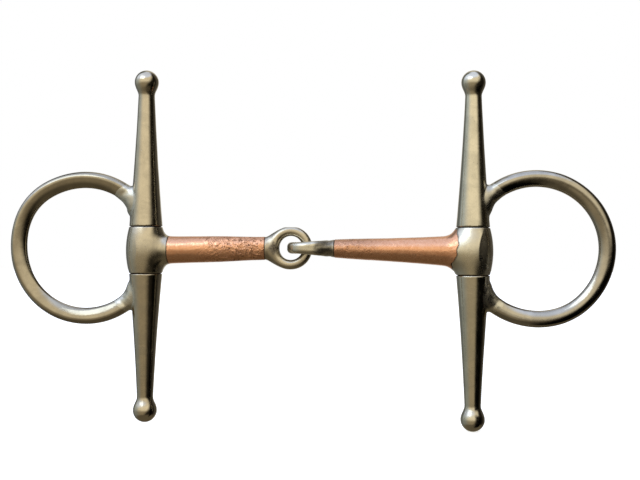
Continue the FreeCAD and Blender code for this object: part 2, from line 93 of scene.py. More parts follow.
class Side:
    """The sizes of one side of the bit, in millimetres.

    reach is the height of each arm's ball end above or below the barrel's middle. tip,
    sleeve_start and sleeve_end are measured from the cheek's axis towards the middle of the mouth.
    """

    def __init__(self, name):
        self.name = name
        self.out = SIDES[name]
        self.axis = joint_x(f"{name}_cheek_swivel")
        upper_low, upper_high = box_mm(f"{name}_upper_cheek_arm")
        lower_low, _ = box_mm(f"{name}_lower_cheek_arm")
        self.base = upper_low[2]
        self.base_radius = (upper_high[0] - upper_low[0]) / 2
        self.reach = {1: upper_high[2], -1: -lower_low[2]}
        core_low, core_high = box_mm(f"{name}_mouthpiece_core")
        self.barrel_half = core_high[2]
        self.barrel_bulge = self.axis - core_low[0] if self.out < 0 else core_high[0] - self.axis
        self.tip = core_high[0] - self.axis if self.out < 0 else self.axis - core_low[0]
        ring_low, ring_high = box_mm(f"{name}_cheek_ring")
        self.ring_radius = (ring_high[2] - ring_low[2]) / 2
        self.ring_z = (ring_high[2] + ring_low[2]) / 2
        self.ring_depth = ring_high[1] - ring_low[1]
        far = -ring_low[0] if self.out < 0 else ring_high[0]
        self.ring_offset = far - self.ring_radius - abs(self.axis)
        sleeve_low, sleeve_high = box_mm(f"{name}_copper_sleeve")
        ends = sorted(abs(x - self.axis) for x in (sleeve_low[0], sleeve_high[0]))
        self.sleeve_start, self.sleeve_end = ends


# ---------------------------------------------------------------- distance fields


def smooth_union(a, b, blend):
    """Two fields joined with a hollow fillet about as wide as blend."""
    mix = np.clip(0.5 + 0.5 * (b - a) / blend, 0, 1)
    return b + (a - b) * mix - blend * mix * (1 - mix)


def smooth_cut(a, b, blend):
    """What lies in both a and b, with a rounded edge."""
    return -smooth_union(-a, -b, blend)


def ramp(value, low, high):
    """0 below low, 1 above high, and a smooth rise between."""
    t = np.clip((value - low) / (high - low), 0, 1)
    return t * t * (3 - 2 * t)


def ripple(p, wave, seed):
    """Slow rolling unevenness between -1 and 1, as hand polishing leaves it."""
    rng = np.random.default_rng(SEED + seed)
    total = np.zeros(p.shape[0])
    waves = 5
    for _ in range(waves):
        direction = rng.normal(size=3)
        direction *= 2 * math.pi / (wave * rng.uniform(0.7, 1.6) * np.linalg.norm(direction))
        total += np.sin(p @ direction + rng.uniform(0, 2 * math.pi))
    return total / waves


def ellipse_field(u, v, wide, thick, power=2.0):
    """Roughly the distance outside an upright ellipse. A power below 2 straightens its flanks."""
    across, up = np.abs(u / wide), np.abs(v / thick)
    k = np.maximum(across**power + up**power, 1e-9) ** (1 / power)
    slope = np.hypot(across ** (power - 1) / wide, up ** (power - 1) / thick) / k ** (power - 1)
    return (k - 1) / np.maximum(slope, 1e-6)


NECK_RADIUS = 3.45
BALL_RADIUS = 5.15
BALL_BLEND = 1.9
WAIST = 4.7
POLISH = 0.035
EDGE_ROUND = 0.2
CREASE = 0.05


def arm_radius(height, side, reach):
    """The arm's radius: a parabola from its base to the neck below the ball."""
    neck = reach - 2 * BALL_RADIUS
    t = np.clip((height - side.base) / (neck - side.base), 0, 1)
    return (1 - t) ** 2 * side.base_radius + 2 * t * (1 - t) * WAIST + t * t * NECK_RADIUS


def arm_field(side, level):
    """One cheek arm; level is 1 for the upper arm and -1 for the lower one."""
    reach = side.reach[level]

    def field(p):
        height = level * p[:, 2]
        across = np.hypot(p[:, 0] - side.axis, p[:, 1])
        shaft = across - arm_radius(height, side, reach)
        top = height - (reach - BALL_RADIUS)
        shaft = np.maximum(shaft, top)
        ball = np.sqrt(across**2 + top**2) - BALL_RADIUS
        whole = smooth_union(shaft, ball, BALL_BLEND)
        whole = smooth_cut(whole, side.base - height, EDGE_ROUND)
        return whole + POLISH * ripple(p, 14.0, 3 * level + side.out)

    return field


RING_BAR = 7.15
RING_CROWN = {"left": 1.2, "right": 0.6}
BEVEL_POWER = 1.65
RING_SWELL = {"left": (math.radians(38), 1.1), "right": (math.radians(-65), 0.55)}
SWELL_SPREAD = math.radians(28)
RING_FLAT = 0.3
RING_EDGE = 1.2
RING_START = 2.0
FOOT_ZONE = 12.0
FOOT_ROOM = 1.5
FOOT_ROUND = 0.4


def ring_section(side, p):
    """Distance from the ring's bar: crest near its outer edge, long bevel inwards, narrow flat inside.

    Each ring also swells out of round in one place.
    """
    x = (p[:, 0] - side.axis) * side.out - side.ring_offset
    z = p[:, 2] - side.ring_z
    swell_at, swell = RING_SWELL[side.name]
    swell = swell * np.exp(-(((np.arctan2(z, x) - swell_at) / SWELL_SPREAD) ** 2))
    radial = np.hypot(x, z) - (side.ring_radius - RING_BAR / 2) - swell
    crown = RING_CROWN[side.name]
    high = side.ring_depth / 2
    outer = ellipse_field(radial - crown, p[:, 1], RING_BAR / 2 - crown, high)
    inner = ellipse_field(radial - crown, p[:, 1], RING_BAR / 2 + crown + RING_FLAT, high, BEVEL_POWER)
    dome = np.where(radial > crown, outer, inner)
    return smooth_cut(dome, -RING_BAR / 2 - RING_EDGE / 4 - radial, RING_EDGE)


def ring_polish(side, p):
    """The ring's slight unevenness, which its brazes follow."""
    return POLISH * ripple(p, 12.0, 11 + side.out)


def ring_field(side):
    """The ring, cut off inside the arms and kept clear of the barrel between its feet."""

    def field(p):
        reach = (p[:, 0] - side.axis) * side.out
        bar = ring_section(side, p)
        bar = smooth_cut(bar, RING_START - reach, FOOT_ROUND)
        clear_of_barrel = np.minimum(side.base + FOOT_ROOM - np.abs(p[:, 2]), FOOT_ZONE - reach)
        bar = smooth_cut(bar, clear_of_barrel, FOOT_ROUND)
        return bar + ring_polish(side, p)

    return field


FOOT_OUT = 7.3
FOOT_HEIGHT = 20.0
BRAZE_REACH = 8.2
BRAZE_STRETCH = np.array([1.0, 0.9, 1.15])
BRAZE_BLEND = 5.2
BRAZE_PROUD = 0.05
BRAZE_SUNK = 0.04
BRAZE_LUMP = {("left", 1): 0.42, ("left", -1): 0.16, ("right", 1): 0.22, ("right", -1): 0.12}
BRAZE_ROUND = 0.3


def foot_of(side, level):
    """The middle of the braze round one foot of the ring."""
    return np.array([side.axis + side.out * FOOT_OUT, 0, side.ring_z + level * FOOT_HEIGHT])


def braze_field(side, level):
    """The braze round one foot of the ring: a fillet over arm and ring that fades out into both.

    It stands a little proud at its middle and sinks under their surfaces at its rim.
    """
    arm = arm_field(side, level)
    foot = foot_of(side, level)
    lump = BRAZE_LUMP[side.name, level]

    def field(p):
        away = np.sqrt((((p - foot) / BRAZE_STRETCH) ** 2).sum(1))
        fade = 1 - ramp(away, 0.45 * BRAZE_REACH, 0.95 * BRAZE_REACH)
        bar = ring_section(side, p) + ring_polish(side, p)
        seam = smooth_union(arm(p), bar, CREASE + BRAZE_BLEND * fade)
        uneven = lump * fade * (0.5 + 0.5 * ripple(p, 3.2, 20 + 2 * side.out + level))
        proud = BRAZE_PROUD * ramp(fade, 0, 0.5)
        skin = seam - uneven - proud + BRAZE_SUNK * (1 - ramp(fade, 0, 0.3))
        skin = np.maximum(skin, side.base + 0.5 - level * p[:, 2])
        return smooth_cut(skin, away - BRAZE_REACH, BRAZE_ROUND)

    return field


# ---------------------------------------------------------------- mouthpiece fields


# Half widths and half thicknesses of the bar: before the copper, on the flare, halfway along the
# copper, at its inner end, on the neck and at the eye
BAR_WIDTHS = {"left": (6.1, 5.75, 5.5, 4.9, 6.6, 8.1), "right": (7.2, 6.3, 5.5, 4.9, 6.6, 8.1)}
BAR_THICKNESSES = {"left": (6.1, 5.7, 4.95, 3.8, 3.3, 2.1), "right": (7.1, 6.2, 4.95, 3.8, 2.95, 2.5)}
BAR_STOP = 2.4
EYE_RADIUS = 9.25
EYE_BAR = 4.1
EYE_DEPTH = 4.9
EYE_ROUND = 1.9
EYE_THICKENING = 0.9
EYE_BLEND = 1.2
HOLE_ROOM = 0.4
FLARES = {"left": 3.4, "right": 4.6}
JOINT_RISE = 1.15
DISC_INSET = 0.5
DISC_HEIGHT = 0.2
PIN_BORE = 3.06
SLEEVE_WALL = 0.9
SLEEVE_PROUD = 0.07
SLEEVE_ROUND = 0.25
CLIMB = 2.3


def along(side, p):
    """Distance from the cheek's axis towards the middle of the mouth."""
    return (side.axis - p[:, 0]) * side.out


def eye_place(side):
    """Distance from the cheek's axis to the middle of the eye."""
    return side.tip - EYE_RADIUS


def in_plane_and_across(side, p):
    """Offsets from the bar's centre line, in the plane of the half's eye and across it.

    The left eye lies in the plane of the cheeks, and the right eye across it. Both halves are bent
    a little, so that the joint stands higher than the barrels.
    """
    length = eye_place(side) - side.base_radius
    share = np.clip((along(side, p) - side.base_radius) / length, 0, 1)
    z = p[:, 2] - JOINT_RISE * share
    return (z, p[:, 1]) if side.out < 0 else (p[:, 1], z)


def curve(x, xs, ys):
    """A smooth curve through a few points that never swings past them."""
    xs, ys = np.asarray(xs, float), np.asarray(ys, float)
    rises = np.diff(ys) / np.diff(xs)
    before, after = rises[:-1], rises[1:]
    turning = before * after <= 0
    inner = np.where(turning, 0, 2 * before * after / np.where(turning, 1, before + after))
    slopes = np.concatenate([[rises[0]], inner, [rises[-1]]])
    i = np.clip(np.searchsorted(xs, x) - 1, 0, len(xs) - 2)
    h = xs[i + 1] - xs[i]
    t = np.clip((x - xs[i]) / h, 0, 1)
    start = (1 + 2 * t) * (1 - t) ** 2 * ys[i] + t * (1 - t) ** 2 * h * slopes[i]
    end = t * t * (3 - 2 * t) * ys[i + 1] + t * t * (t - 1) * h * slopes[i + 1]
    return start + end


def bar_half_widths(side, x):
    """Half width in the eye's plane and half thickness across it, at distance x along the bar."""
    middle = (side.sleeve_start + side.sleeve_end) / 2
    eye = eye_place(side)
    flare = [side.sleeve_start - 4, side.sleeve_start + 3.6]
    stations = flare + [middle, side.sleeve_end, eye - 7.5, eye - 4.0]
    wide = curve(x, stations, BAR_WIDTHS[side.name])
    thick = curve(x, stations, BAR_THICKNESSES[side.name])
    return wide, thick


def bar_field(side, p, grow=0.0):
    """The bar that the copper covers, with its flare and neck."""
    x = along(side, p)
    u, v = in_plane_and_across(side, p)
    wide, thick = bar_half_widths(side, x)
    return ellipse_field(u, v, wide + grow, thick + grow)


def eye_field(side, p):
    """The eye: a ring with rounded edges that thickens towards the neck."""
    x = along(side, p) - eye_place(side)
    u, v = in_plane_and_across(side, p)
    depth = EYE_DEPTH / 2 + EYE_THICKENING * ramp(-x, -5.0, EYE_RADIUS)
    radial = np.abs(np.hypot(x, u) - (EYE_RADIUS - EYE_BAR / 2)) - (EYE_BAR / 2 - EYE_ROUND)
    high = np.abs(v) - (depth - EYE_ROUND)
    outside = np.hypot(np.maximum(radial, 0), np.maximum(high, 0))
    return outside + np.minimum(np.maximum(radial, high), 0) - EYE_ROUND


def barrel_field(side, p):
    """The barrel that turns between the two arms, widest at its middle."""
    height = np.clip(p[:, 2] / side.barrel_half, -1, 1)
    rise = (1 - height**2) * (side.barrel_bulge - side.base_radius)
    wall = np.hypot(p[:, 0] - side.axis, p[:, 1]) - (side.base_radius + rise)
    return smooth_cut(wall, np.abs(p[:, 2]) - side.barrel_half, EDGE_ROUND)


def core_field(side):
    """Barrel, bar, neck and eye of one half, flowing into each other.

    Under the copper the bar is thinner by the copper's wall. A thin disc on each end of the barrel,
    set back from its rim, fills most of the gap to the arm and darkens it. The hinge pin's bore
    runs through it all.
    """

    def field(p):
        x = along(side, p)
        eye_x = x - eye_place(side)
        u, _ = in_plane_and_across(side, p)
        under_sleeve = ramp(x, side.sleeve_start - 0.1, side.sleeve_start + 0.1)
        under_sleeve *= 1 - ramp(x, side.sleeve_end - 0.1, side.sleeve_end + 0.1)
        bar = bar_field(side, p, grow=-SLEEVE_WALL * under_sleeve)
        hole = EYE_RADIUS - EYE_BAR + HOLE_ROOM - np.hypot(eye_x, u)
        bar = smooth_cut(bar, x - (eye_place(side) - BAR_STOP), 0.6)
        bar = smooth_cut(bar, hole, 0.8)
        bar = smooth_cut(bar, -x, 0.2)
        eye_blend = CREASE + EYE_BLEND * (1 - ramp(eye_x, -6.0, -2.0))
        neck = smooth_union(bar, eye_field(side, p), eye_blend)
        flare = CREASE + FLARES[side.name] * (1 - under_sleeve)
        whole = smooth_union(neck, barrel_field(side, p), flare)
        above_barrel = np.abs(p[:, 2]) - side.barrel_half
        whole = smooth_cut(whole, above_barrel, EDGE_ROUND)
        from_axis = np.hypot(p[:, 0] - side.axis, p[:, 1])
        disc = np.maximum(from_axis - side.base_radius + DISC_INSET, above_barrel - DISC_HEIGHT)
        whole = np.minimum(whole, disc)
        whole = np.maximum(whole, PIN_BORE - from_axis)
        return whole + 0.4 * POLISH * ripple(p, 14.0, 31 + side.out)

    return field


def outer_edge(side, p):
    """How far the copper's outer end strays from a straight cut.

    The left end is straight. The right one climbs the barrel's flare, in uneven steps.
    """
    if side.name == "left":
        return np.zeros(len(p))
    turn = np.arctan2(p[:, 1], p[:, 2])
    steps = np.sin(3 * turn + 1.0) + 0.6 * np.sin(7 * turn) + 0.5 * np.sin(13 * turn + 2.0)
    return 0.3 * steps - CLIMB * ramp(p[:, 2], -6.0, -1.5)


def sleeve_field(side):
    """The copper tube: it starts on the flare and follows the bar."""

    def field(p):
        x = along(side, p)
        flare = smooth_union(bar_field(side, p), barrel_field(side, p), CREASE + FLARES[side.name])
        outer = flare - SLEEVE_PROUD + POLISH * ripple(p, 8.0, 41 + side.out)
        wall = np.maximum(outer, -(outer + SLEEVE_WALL))
        ends = np.maximum(side.sleeve_start + outer_edge(side, p) - x, x - side.sleeve_end)
        return smooth_cut(wall, ends, SLEEVE_ROUND)

    return field


# ---------------------------------------------------------------- from field to mesh


CHUNK = 400_000
NET_STEP = {"arm": 0.4, "braze": 0.3, "ring": 0.38, "core": 0.3, "sleeve": 0.27}


def values_at(field, points):
    """The field at many points, a chunk at a time to keep memory small."""
    return np.concatenate([field(points[i : i + CHUNK]) for i in range(0, len(points), CHUNK)])


def gradient_at(field, points):
    """The field's slope at each point, by central differences."""
    reach = 0.02
    slope = np.empty_like(points)
    for i in range(3):
        shift = np.zeros(3)
        shift[i] = reach
        change = values_at(field, points + shift) - values_at(field, points - shift)
        slope[:, i] = change / (2 * reach)
    return slope


def pull_to_surface(field, points, limit):
    """Moves points along the field's slope until they lie on the surface."""
    value = values_at(field, points)
    slope = gradient_at(field, points)
    steep = np.maximum((slope**2).sum(1), 0.05)
    move = slope * (value / steep)[:, None]
    length = np.maximum(np.linalg.norm(move, axis=1), 1e-9)
    return points - move * np.minimum(1, limit / length)[:, None]


def quads_across(inside, cell, axis):
    """Faces where the field changes sign along one grid axis, wound so that they face outwards."""
    order = [axis, (axis + 1) % 3, (axis + 2) % 3]
    inside = np.moveaxis(inside, order, [0, 1, 2])
    cell = np.moveaxis(cell, order, [0, 1, 2])
    near, far = inside[:-1, 1:-1, 1:-1], inside[1:, 1:-1, 1:-1]
    i, j, k = np.nonzero(near != far)
    quad = np.stack([cell[i, j, k], cell[i, j + 1, k], cell[i, j + 1, k + 1], cell[i, j, k + 1]], axis=1)
    backwards = ~near[i, j, k]
    quad[backwards] = quad[backwards][:, ::-1]
    return quad


def net_round(field, low, high, step):
    """A closed net of quads round the field's zero surface inside a box: points and faces."""
    low = np.asarray(low, float) - 2.5 * step
    counts = np.ceil((np.asarray(high, float) + 2.5 * step - low) / step).astype(int) + 1
    axes = [low[i] + step * np.arange(counts[i]) for i in range(3)]
    grid = np.stack(np.meshgrid(*axes, indexing="ij"), axis=-1).reshape(-1, 3)
    inside = (values_at(field, grid) < 0).reshape(counts)
    corners = [
        inside[a : counts[0] - 1 + a, b : counts[1] - 1 + b, c : counts[2] - 1 + c]
        for a in (0, 1)
        for b in (0, 1)
        for c in (0, 1)
    ]
    total = np.sum(corners, axis=0)
    mixed = (total > 0) & (total < len(corners))
    cell = np.full(mixed.shape, -1)
    cell[mixed] = np.arange(mixed.sum())
    points = low + step * (np.argwhere(mixed) + 0.5)
    faces = np.concatenate([quads_across(inside, cell, axis) for axis in range(3)])
    return points, faces


def relax(points, faces, share):
    """Moves each point part of the way to the middle of its neighbours."""
    total = np.zeros_like(points)
    count = np.zeros(len(points))
    for i in range(4):
        a, b = faces[:, i], faces[:, (i + 1) % 4]
        np.add.at(total, a, points[b])
        np.add.at(total, b, points[a])
        np.add.at(count, a, 1)
        np.add.at(count, b, 1)
    return points + share * (total / np.maximum(count, 1)[:, None] - points)


def mesh_of(name, field, low, high, step, masks):
    """A smooth closed object on the field's surface. masks maps attribute names to functions."""
    points, faces = net_round(field, low, high, step)
    points = pull_to_surface(field, points, step)
    for _ in range(3):
        points = relax(points, faces, 0.5)
        points = pull_to_surface(field, points, step)
    points = pull_to_surface(field, points, step)
    mesh = bpy.data.meshes.new(name)
    mesh.vertices.add(len(points))
    mesh.vertices.foreach_set("co", (points * MM).astype(np.float32).ravel())
    mesh.loops.add(4 * len(faces))
    mesh.loops.foreach_set("vertex_index", faces.astype(np.int32).ravel())
    mesh.polygons.add(len(faces))
    mesh.polygons.foreach_set("loop_start", np.arange(0, 4 * len(faces), 4, dtype=np.int32))
    mesh.update(calc_edges=True)
    mesh.validate()
    mesh.shade_smooth()
    for mask_name, mask in masks.items():
        attribute = mesh.attributes.new(mask_name, "FLOAT", "POINT")
        attribute.data.foreach_set("value", np.clip(mask(points), 0, 1).astype(np.float32))
    piece = bpy.data.objects.new(name, mesh)
    bpy.context.scene.collection.objects.link(piece)
    return piece


# ---------------------------------------------------------------- node helpers


class Nodes:
    """Short calls for building a node tree."""

    def __init__(self, tree):
        self.tree = tree
        tree.nodes.clear()

    def add(self, kind, **settings):
        node = self.tree.nodes.new(kind)
        for key, value in settings.items():
            setattr(node, key, value)
        return node

    def link(self, source, target):
        if isinstance(source, bpy.types.NodeSocket):
            self.tree.links.new(source, target)
        else:
            target.default_value = source

    def math(self, operation, a, b=0.0):
        node = self.add("ShaderNodeMath", operation=operation)
        self.link(a, node.inputs[0])
        self.link(b, node.inputs[1])
        return node.outputs[0]

    def times(self, a, b):
        return self.math("MULTIPLY", a, b)

    def plus(self, a, b):
        return self.math("ADD", a, b)

    def rise(self, value, low, high, start=0.0, end=1.0):
        """start below low, end above high, with a smooth change between."""
        node = self.add("ShaderNodeMapRange", interpolation_type="SMOOTHSTEP")
        self.link(value, node.inputs["Value"])
        node.inputs["From Min"].default_value = low
        node.inputs["From Max"].default_value = high
        node.inputs["To Min"].default_value = start
        node.inputs["To Max"].default_value = end
        return node.outputs["Result"]

    def window(self, value, low, high, soft):
        """1 between low and high, and 0 outside, with soft edges."""
        up = self.rise(value, low - soft, low + soft)
        down = self.rise(value, high - soft, high + soft, 1.0, 0.0)
        return self.times(up, down)

    def mix(self, share, a, b):
        node = self.add("ShaderNodeMix", data_type="RGBA", clamp_factor=True)
        self.link(share, node.inputs["Factor"])
        self.link(a, node.inputs["A"])
        self.link(b, node.inputs["B"])
        return node.outputs["Result"]

    def position(self, scale=(1, 1, 1)):
        """Object coordinates in millimetres, stretched by scale."""
        where = self.add("ShaderNodeTexCoord")
        mapping = self.add("ShaderNodeMapping")
        self.link(where.outputs["Object"], mapping.inputs["Vector"])
        mapping.inputs["Scale"].default_value = [s / MM for s in scale]
        return mapping.outputs["Vector"]

    def shifted(self, vector, by):
        """The same coordinates moved aside, so that no two pieces carry the same marks."""
        node = self.add("ShaderNodeVectorMath", operation="ADD")
        self.link(vector, node.inputs[0])
        node.inputs[1].default_value = by
        return node.outputs[0]

    def noise(self, vector, scale, detail=3.0, roughness=0.5, warp=0.0):
        node = self.add("ShaderNodeTexNoise")
        self.link(vector, node.inputs["Vector"])
        node.inputs["Scale"].default_value = scale
        node.inputs["Detail"].default_value = detail
        node.inputs["Roughness"].default_value = roughness
        node.inputs["Distortion"].default_value = warp
        return node.outputs[0]

    def cells(self, vector, scale):
        node = self.add("ShaderNodeTexVoronoi")
        self.link(vector, node.inputs["Vector"])
        node.inputs["Scale"].default_value = scale
        return node.outputs["Distance"]

    def mask(self, name):
        return self.add("ShaderNodeAttribute", attribute_name=name).outputs["Fac"]

    def bump(self, height, strength, distance, below=None):
        node = self.add("ShaderNodeBump")
        self.link(height, node.inputs["Height"])
        node.inputs["Strength"].default_value = strength
        node.inputs["Distance"].default_value = distance * MM
        if below is not None:
            self.link(below, node.inputs["Normal"])
        return node.outputs["Normal"]


def material(name):
    """A new metal: the material, its node helper and its shader."""
    made = bpy.data.materials.new(name)
    made.use_nodes = True
    nodes = Nodes(made.node_tree)
    shader = nodes.add("ShaderNodeBsdfPrincipled")
    output = nodes.add("ShaderNodeOutputMaterial")
    nodes.link(shader.outputs["BSDF"], output.inputs["Surface"])
    return made, nodes, shader


# Painted shade: the rings' nickel is darker than the arms', and different on each side.
RING_NICKEL_SHADED = {"left": (0.46, 0.405, 0.30), "right": (0.51, 0.465, 0.37)}
CORE_ROUGHNESS = {"left": 0.22, "right": 0.26}
# Painted light and shade: one nickel, lighter on the right cheek and mouthpiece and darker on the left.
NICKEL_SHADED_PER_SIDE = {"left": (0.62, 0.55, 0.415), "right": (0.74, 0.68, 0.53)}
BRAZE_METAL = (0.70, 0.66, 0.54)
PIN_STEEL = (0.42, 0.40, 0.36)
NICKEL_PIT = (0.16, 0.13, 0.10, 1)
NICKEL_DIRT_AND_SHADE = (0.09, 0.07, 0.05, 1)


def shade(colour, share=1.0):
    """A colour darkened to a share of itself, with its opacity."""
    return (*[c * share for c in colour], 1)


def nickel(name, seed, lay, roughness, base, lumpy=0.0):
    """Worn polished nickel: buffing lines, cloudy patches, fine scratches, dirt and painted shade in the
    corners and gaps.

    lay stretches the buffing lines, and lumpy deepens the dents.
    """
    made, nodes, shader = material(name)
    where = nodes.shifted(nodes.position(), (seed * 17.0, seed * 5.0, seed * 11.0))
    clouds = nodes.noise(where, 0.16, 4.0, 0.6, 0.4)
    specks = nodes.noise(where, 1.6, 3.0, 0.6)
    brushed = nodes.noise(nodes.position(lay), 1.0, 4.0, 0.62)
    pits = nodes.rise(nodes.cells(where, 0.55), 0.05, 0.12, 1.0, 0.0)
    pits = nodes.times(pits, nodes.rise(clouds, 0.5, 0.62))
    # This mask paints dirt and painted shade alike: the colour darkens in gaps, creases and hollows.
    dirt_and_shade = nodes.mask("dirt_and_shade")
    dirt_and_shade_share = nodes.times(dirt_and_shade, nodes.rise(specks, 0.3, 0.6, 0.55, 1.0))
    colour = nodes.mix(nodes.rise(clouds, 0.36, 0.66), shade(base), shade(base, 0.84))
    colour = nodes.mix(nodes.rise(brushed, 0.45, 0.75, 0.0, 0.35), colour, shade(base, 0.8))
    colour = nodes.mix(nodes.times(pits, 0.55), colour, NICKEL_PIT)
    colour = nodes.mix(dirt_and_shade_share, colour, NICKEL_DIRT_AND_SHADE)
    nodes.link(colour, shader.inputs["Base Color"])
    shader.inputs["Metallic"].default_value = 1.0
    rough = nodes.rise(clouds, 0.3, 0.7, roughness - 0.04, roughness + 0.07)
    rough = nodes.plus(rough, nodes.rise(specks, 0.4, 0.7, 0.0, 0.05))
    rough = nodes.plus(rough, nodes.times(dirt_and_shade_share, 0.3))
    nodes.link(rough, shader.inputs["Roughness"])
    normal = nodes.bump(brushed, 0.16, 0.05)
    normal = nodes.bump(clouds, 0.25 + lumpy, 0.25, normal)
    normal = nodes.bump(nodes.times(pits, -1.0), 0.4, 0.08, normal)
    nodes.link(normal, shader.inputs["Normal"])
    return made


COPPER_PINK = (0.92, 0.50, 0.29, 1)
COPPER_RED = (0.84, 0.41, 0.22, 1)
COPPER_BROWN = (0.46, 0.22, 0.11, 1)
COPPER_PALE = (0.93, 0.60, 0.42, 1)
HOLLOW_BROWN = (0.15, 0.065, 0.035, 1)
PIT_BROWN = (0.10, 0.05, 0.03, 1)
COPPER_DIRT_AND_SHADE = (0.06, 0.035, 0.025, 1)


def copper(name, seed):
    """Used copper: pink-orange metal, dented and pitted where worn, brown left in the hollows."""
    made, nodes, shader = material(name)
    where = nodes.shifted(nodes.position(), (seed * 13.0, seed * 7.0, seed * 3.0))
    worn = nodes.mask("worn")
    clouds = nodes.noise(where, 0.22, 5.0, 0.62, 0.6)
    mottle = nodes.noise(where, 0.9, 4.0, 0.65, 0.3)
    streaks = nodes.noise(nodes.position((0.12, 1.6, 1.6)), 1.0, 5.0, 0.65)
    creases = nodes.noise(where, 0.24, 3.0, 0.5, 1.6)
    hollows = nodes.window(creases, 0.48, 0.52, 0.03)
    hollows = nodes.times(hollows, nodes.rise(mottle, 0.45, 0.62))
    hollows = nodes.times(hollows, worn)
    holes = nodes.rise(nodes.cells(where, 0.62), 0.12, 0.24, 1.0, 0.0)
    holes = nodes.times(holes, nodes.rise(mottle, 0.46, 0.56))
    holes = nodes.times(holes, nodes.rise(worn, 0.0, 1.0, 0.15, 1.0))
    patina = nodes.rise(clouds, 0.40, 0.66)
    patina = nodes.times(patina, nodes.rise(worn, 0.0, 1.0, 0.2, 1.0))
    colour = nodes.mix(nodes.rise(mottle, 0.3, 0.7), COPPER_PINK, COPPER_RED)
    colour = nodes.mix(nodes.times(patina, 0.5), colour, COPPER_BROWN)
    colour = nodes.mix(nodes.rise(streaks, 0.55, 0.75, 0.0, 0.4), colour, COPPER_PALE)
    colour = nodes.mix(nodes.times(hollows, 0.9), colour, HOLLOW_BROWN)
    colour = nodes.mix(nodes.times(holes, 0.85), colour, PIT_BROWN)
    # Dirt at the copper's ends, and painted shade on top of the right half, in one dark colour.
    colour = nodes.mix(nodes.mask("dirt_and_shade"), colour, COPPER_DIRT_AND_SHADE)
    nodes.link(colour, shader.inputs["Base Color"])
    shader.inputs["Metallic"].default_value = 0.85
    rough = nodes.rise(clouds, 0.3, 0.75, 0.15, 0.24)
    rough = nodes.plus(rough, nodes.rise(mottle, 0.4, 0.8, 0.0, 0.08))
    rough = nodes.plus(rough, nodes.times(worn, 0.12))
    nodes.link(rough, shader.inputs["Roughness"])
    normal = nodes.bump(streaks, 0.12, 0.03)
    dents = nodes.times(creases, nodes.rise(worn, 0.0, 1.0, 0.12, 1.0))
    normal = nodes.bump(dents, 0.8, 1.1, normal)
    normal = nodes.bump(nodes.times(mottle, worn), 0.35, 0.14, normal)
    hollow = nodes.times(nodes.math("MAXIMUM", hollows, holes), -1.0)
    normal = nodes.bump(hollow, 0.7, 0.2, normal)
    nodes.link(normal, shader.inputs["Normal"])
    return made


# ---------------------------------------------------------------- pieces


def finish_piece(piece, body, node, look):
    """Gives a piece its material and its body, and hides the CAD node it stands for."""
    piece.data.materials.append(look)
    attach(piece, body)
    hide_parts(node)


def clean(p):
    """No dirt and no painted shade anywhere."""
    return np.zeros(len(p))


def arm_gap_shade_and_neck_band(side, level):
    """Painted shade beside the barrel's gap, and a faint uneven darker band on the neck below the ball.
    """
    neck_height = side.reach[level] - 2 * BALL_RADIUS + 0.6

    def mask(p):
        height = level * p[:, 2]
        # Painted shade: darker along the arm's edge beside the gap.
        gap = 1 - ramp(height - side.base, 0.0, 0.2)
        neck = 1 - ramp(np.abs(height - neck_height), 0.2, 2.2)
        return gap + 0.22 * neck * (0.5 + 0.5 * ripple(p, 5.0, 51))

    return mask


def braze_crease_shade(side, level):
    """Painted shade in the crease of a braze."""

    def mask(p):
        bar = np.abs(ring_section(side, p))
        across = np.hypot(p[:, 0] - side.axis, p[:, 1])
        arm = np.abs(across - side.base_radius + 0.6)
        # Painted shade: darker where the ring's and the arm's surfaces meet.
        crease = 1 - ramp(bar + arm, 0.5, 2.4)
        return 0.4 * crease * (0.4 + 0.6 * ripple(p, 3.0, 61 + level))

    return mask


def build_arm(side, word, look):
    """One cheek arm with its ball end; word is upper or lower."""
    level = LEVELS[word]
    heights = sorted((level * side.base, level * side.reach[level]))
    wide = side.base_radius
    low = (side.axis - wide, -wide, heights[0])
    high = (side.axis + wide, wide, heights[1])
    node = f"{side.name}_{word}_cheek_arm"
    masks = {"dirt_and_shade": arm_gap_shade_and_neck_band(side, level)}
    piece = mesh_of(f"look_{node}", arm_field(side, level), low, high, NET_STEP["arm"], masks)
    finish_piece(piece, f"{side.name}_cheek", node, look)


def build_braze(side, word):
    """The braze where the ring's upper or lower foot meets the arm."""
    level = LEVELS[word]
    foot = foot_of(side, level)
    spread = BRAZE_REACH * BRAZE_STRETCH
    node = f"{side.name}_{word}_braze"
    masks = {"dirt_and_shade": braze_crease_shade(side, level)}
    field = braze_field(side, level)
    piece = mesh_of(f"look_{node}", field, foot - spread, foot + spread, NET_STEP["braze"], masks)
    look = nickel(f"braze_{side.name}_{word}", 5 + level + side.out, (1, 1, 1), 0.24, BRAZE_METAL, 0.2)
    finish_piece(piece, f"{side.name}_cheek", node, look)


def build_ring(side):
    """The cheek's ring, which carries no dirt; its nickel is painted darker than the arms' as shade."""
    centre = np.array([side.axis + side.out * side.ring_offset, 0, side.ring_z])
    reach = side.ring_radius + RING_SWELL[side.name][1]
    spread = np.array([reach, side.ring_depth / 2, reach])
    node = f"{side.name}_cheek_ring"
    low, high = centre - spread, centre + spread
    piece = mesh_of(f"look_{node}", ring_field(side), low, high, NET_STEP["ring"], {"dirt_and_shade": clean})
    look = nickel(f"nickel_{side.name}_ring", 9 + side.out, (0.5, 1.6, 0.5), 0.10, RING_NICKEL_SHADED[side.name])
    finish_piece(piece, f"{side.name}_cheek", node, look)


def build_cheek(side):
    """Both arms with their brazes, and the ring between them."""
    steel = nickel(f"nickel_{side.name}_arms", 1 + side.out, (1.3, 1.3, 0.09), 0.13, NICKEL_SHADED_PER_SIDE[side.name])
    for word in LEVELS:
        build_arm(side, word, steel)
        build_braze(side, word)
    build_ring(side)


